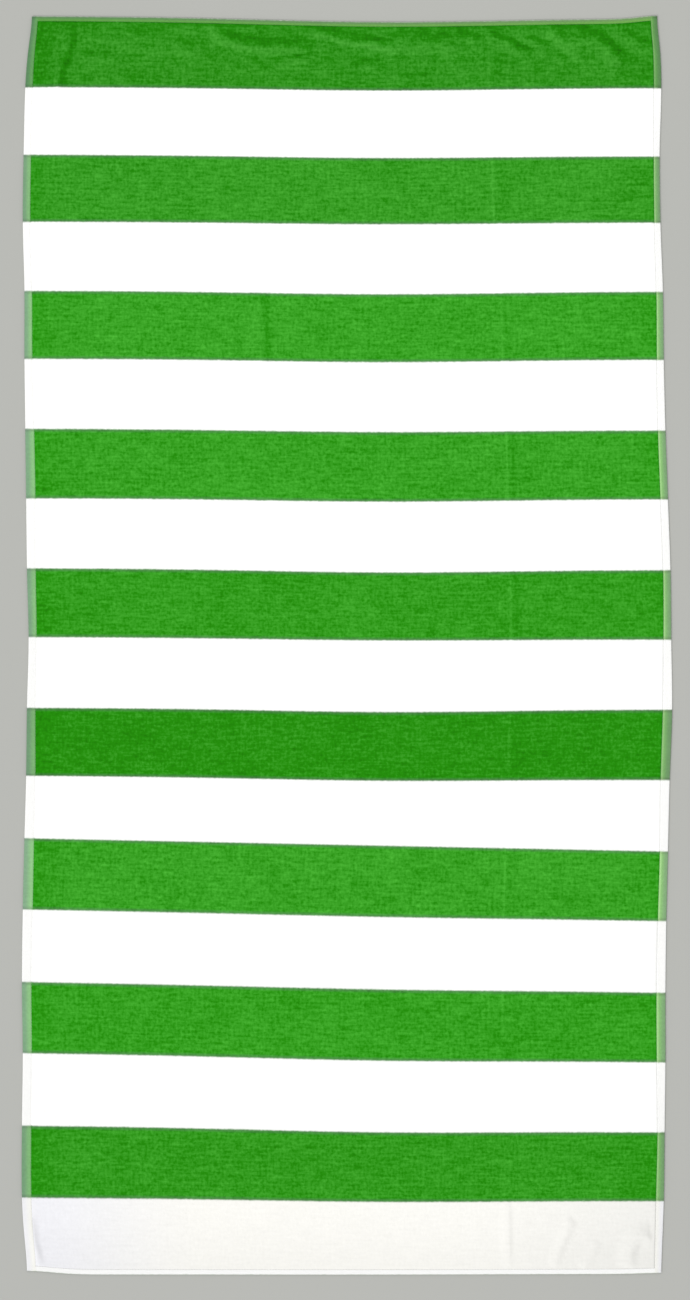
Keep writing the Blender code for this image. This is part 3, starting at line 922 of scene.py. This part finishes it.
def darkening_by_hems(cotton):
    """How much darker the pile is made beside the hems."""
    at_left = cotton.step(cotton.across, SIDE_HEM + SIDE_HEM_DARKENING_REACH, SIDE_HEM)
    at_right = cotton.step(cotton.across, WIDTH - SIDE_HEM - SIDE_HEM_DARKENING_REACH, WIDTH - SIDE_HEM)
    at_end = cotton.step(cotton.down, TOP_HEM + TOP_HEM_DARKENING_REACH, TOP_HEM)
    return cotton.add(
        cotton.times(at_left, LEFT_HEM_DARKENING),
        cotton.times(at_right, RIGHT_HEM_DARKENING),
        cotton.times(at_end, TOP_HEM_DARKENING),
    )


def velour():
    """Sheared pile: short fibres on end, printed, with the weave's rows showing faintly through."""
    cotton = Cotton("velour", VELOUR)
    white, ink = stripes(cotton)
    grain = cotton.grains(*PILE_GRAINS)
    rumple = cotton.times(cotton.grains(RUMPLE), cotton.step(cotton.down, RUMPLE_END, RUMPLE_FULL))
    # Painted light and shade of the creases' slopes, with the top stripe's random rumple and the darkening
    # beside the hems
    lean_and_shade = cotton.add(cotton.nap_and_shade, rumple, cotton.times(darkening_by_hems(cotton), -1))
    depth = cotton.times(cotton.tone, cotton.add(1, grain, cotton.times(lean_and_shade, NAP_SHADE_DYE)))
    bare = cotton.add(cotton.pile_bare, cotton.times(cotton.add(grain, lean_and_shade), BARE_SWING))
    green = cotton.mix(ink, cotton.dyed(depth, bare, BARE_PILE), cotton.scale(EDGE_GREEN, depth))
    # Painted shade of the creases' slopes in the last white stripe
    pale_nap_shade = cotton.times(cotton.nap_and_shade, in_last_stripe(cotton), PALE_NAP_SHADE)
    pale = cotton.scale(unprinted_and_shaded(cotton), cotton.add(1, cotton.times(grain, PALE_GRAIN), pale_nap_shade))
    return cotton.finished(cotton.mix(white, green, pale), grain)


class HemPlace:
    """Where a place is in the hems."""

    def __init__(self, cotton):
        from_side = cotton.math("MINIMUM", cotton.across, cotton.math("SUBTRACT", WIDTH, cotton.across))
        from_end = cotton.math("MINIMUM", cotton.down, cotton.math("SUBTRACT", LENGTH, cotton.down))
        self.cotton = cotton
        self.in_side = cotton.math("LESS_THAN", from_side, SIDE_HEM)
        self.side_rim = cotton.step(from_side, RIM_START * SIDE_HEM, RIM_FULL * SIDE_HEM)
        self.end_rim = cotton.step(from_end, RIM_START * TOP_HEM, RIM_FULL * TOP_HEM)
        self.to_right = cotton.times(cotton.across, 1 / WIDTH)
        # Painted light beside the stitches, growing towards the right hem
        crest_light = cotton.step(from_side, CREST_START * SIDE_HEM, CREST_FULL * SIDE_HEM)
        self.crest_light = cotton.times(crest_light, self.to_right)

    def either(self, at_end, at_side):
        """The first value in the end hems, and the second in the side hems."""
        return self.cotton.mix(self.in_side, at_end, at_side)

    def look(self, end_fold, end_rim, side_fold, side_rim):
        """A colour that turns from the fold's to the rim's in the end hems and in the side hems."""
        at_end = self.cotton.mix(self.end_rim, end_fold, end_rim)
        return self.either(at_end, self.cotton.mix(self.side_rim, side_fold, side_rim))


def hem_look(cotton, place):
    """The hems' share of the dye, and the colour of their bare yarn."""
    rows = (TOP_FOLD, TOP_RIM, SIDE_FOLD, SIDE_RIM)
    dye = cotton.parts(place.look(*((row.dye,) * 3 for row in rows)))[0]
    yarn = place.look(*(row.yarn for row in rows))
    return dye, cotton.tint(yarn, cotton.mix(place.to_right, (1, 1, 1), RIGHT_TINT))


def hem_weave():
    """The flat weave of the hems, which takes the dye less deeply than the pile."""
    cotton = Cotton("hem_weave", FLAT_WEAVE)
    white, ink = stripes(cotton)
    place = HemPlace(cotton)
    upright = cotton.wave(cotton.across, RIB_PITCH)
    level = cotton.wave(cotton.down, RIB_PITCH)
    ribs = cotton.parts(place.either(level, upright))[0]
    slubs = cotton.noise(SLUBS)
    ribbing = cotton.times(ribs, RIB_SWING)
    swing = cotton.add(1, ribbing, cotton.times(slubs, SLUBS.depth), cotton.grains(HEM_CLOUDS))
    dye, yarn = hem_look(cotton, place)
    depth = cotton.times(cotton.tone, dye, cotton.add(swing, cotton.times(ink, INK_IN_HEM.dye)))
    # The bare yarn's share takes the painted light beside the right hem's stitches
    share = cotton.add(swing, cotton.times(ink, INK_IN_HEM.yarn), cotton.times(place.crest_light, CREST_LIGHT))
    green = cotton.dyed(depth, cotton.times(cotton.hem_bare, share), yarn)
    # The last white stripe's hems, with their painted shade
    last = place.look(LAST_HEM_END, LAST_HEM_END, LAST_HEM_FOLD, LAST_HEM_RIM)
    pale = cotton.mix(in_last_stripe(cotton), WHITE, last)
    pale = cotton.scale(pale, cotton.add(1, cotton.times(cotton.add(ribs, slubs), PALE_WEAVE)))
    crossings = cotton.times(upright, level, CROSSING_RELIEF)
    relief = cotton.add(ribs, crossings, cotton.times(slubs, SLUB_RELIEF))
    return cotton.finished(cotton.mix(white, green, pale), relief)


def terry_loops():
    """The unprinted back: upright loops in rows."""
    cotton = Cotton("terry_loops", TERRY)
    loops = cotton.times(cotton.wave(cotton.across, LOOP_WIDE), cotton.wave(cotton.down, LOOP_LONG))
    relief = cotton.add(loops, cotton.grains(LOOP_LEAN))
    shade = cotton.add(1, cotton.times(relief, LOOP_SHADE), cotton.grains(BACK_CLOUDS))
    return cotton.finished(cotton.scale(BACK_WHITE, shade), relief)


def sewing_thread():
    """The thread is sewn before the print, so it takes its stripes too."""
    cotton = Cotton("sewing_thread", THREAD)
    white, _ = stripes(cotton)
    twist = cotton.wave(cotton.add(cotton.across, cotton.down), TWIST_PITCH)
    shade = cotton.add(1, cotton.times(twist, TWIST_SHADE))
    green = cotton.dyed(cotton.times(cotton.tone, shade), cotton.times(cotton.hem_bare, shade), BARE_THREAD)
    # Painted shade of the stitch line in the last white stripe
    last = cotton.times(in_last_stripe(cotton), LAST_THREAD_SHADE)
    pale = cotton.scale(WHITE, cotton.math("SUBTRACT", shade, last))
    return cotton.finished(cotton.mix(white, green, pale), twist)


# ---------------------------------------------------------------- floor, light and camera


def floor_paint():
    """Pale grey, a little darker towards the fill light, so that it looks even."""
    material = bpy.data.materials.new("floor_paint")
    material.use_nodes = True
    nodes, links = material.node_tree.nodes, material.node_tree.links
    place = nodes.new("ShaderNodeNewGeometry")
    parts = nodes.new("ShaderNodeSeparateXYZ")
    links.new(place.outputs["Position"], parts.inputs[0])
    grey = nodes.new("ShaderNodeMapRange")
    grey.data_type = "FLOAT_VECTOR"
    links.new(parts.outputs["Y"], grey.inputs["Vector"])
    ends = ((-LENGTH / 2,) * 3, (LENGTH / 2,) * 3, FLOOR_BOTTOM, FLOOR_TOP)
    for socket, value in zip(grey.inputs[7:11], ends):  # From Min, From Max, To Min and To Max
        socket.default_value = value
    shader = nodes["Principled BSDF"]
    links.new(grey.outputs["Vector"], shader.inputs["Base Color"])
    shader.inputs["Roughness"].default_value = FLOOR_ROUGHNESS
    shader.inputs["Specular IOR Level"].default_value = FLOOR_SPECULAR
    return material


def make_floor():
    """A plain floor just under the towel."""
    half = FLOOR_SIZE / 2
    mesh = bpy.data.meshes.new("floor")
    corners = [(x, y, -FLOOR_DROP) for x, y in ((-half, -half), (half, -half), (half, half), (-half, half))]
    mesh.from_pydata(corners, [], [(0, 1, 2, 3)])
    mesh.materials.append(floor_paint())
    floor = bpy.data.objects.new("floor", mesh)
    bpy.context.scene.collection.objects.link(floor)


def make_world():
    """Even white light from all round."""
    world = bpy.data.worlds.new("studio")
    world.use_nodes = True
    background = world.node_tree.nodes["Background"]
    background.inputs["Color"].default_value = (1, 1, 1, 1)
    background.inputs["Strength"].default_value = AMBIENT
    bpy.context.scene.world = world


def make_light(name, kind, power):
    """A light that isn't placed or turned yet, so it shines straight down."""
    data = bpy.data.lights.new(name, kind)
    data.energy = power
    light = bpy.data.objects.new(name, data)
    bpy.context.scene.collection.objects.link(light)
    return light


def make_lights():
    """A soft key light from the bottom left, and a weak fill light past the top hem.

    Both face the towel's middle.
    """
    key = make_light("key_light", "SUN", KEY_POWER)
    key.data.angle = KEY_SPREAD
    key.rotation_euler = Vector(KEY_FROM).to_track_quat("Z", "Y").to_euler()
    fill = make_light("fill_light", "AREA", FILL_POWER)
    fill.data.size = FILL_SIZE
    fill.location = FILL_PLACE
    fill.rotation_euler = (-math.atan2(FILL_PLACE[1], FILL_PLACE[2]), 0, 0)
    fill.visible_camera = False


def make_camera():
    """The photo's view: straight down on the towel, with the photo's frame round it."""
    data = bpy.data.cameras.new("camera")
    data.sensor_width = SENSOR
    data.lens = SENSOR * CAMERA_HEIGHT / (PHOTO_HIGH * PIXEL)
    camera = bpy.data.objects.new("camera", data)
    camera.location = (*VIEW_MIDDLE, CAMERA_HEIGHT)
    bpy.context.scene.collection.objects.link(camera)
    bpy.context.scene.camera = camera
    bpy.context.scene.view_settings.view_transform = "Standard"


face = make_face(velour())
hem = make_hem(hem_weave())
back = make_back(terry_loops())
stitches = make_stitches(sewing_thread())
for made in (face, hem, back, stitches):
    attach(made, "root")
for made in (face, hem, back):
    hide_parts("towel")
make_floor()
make_world()
make_lights()
make_camera()
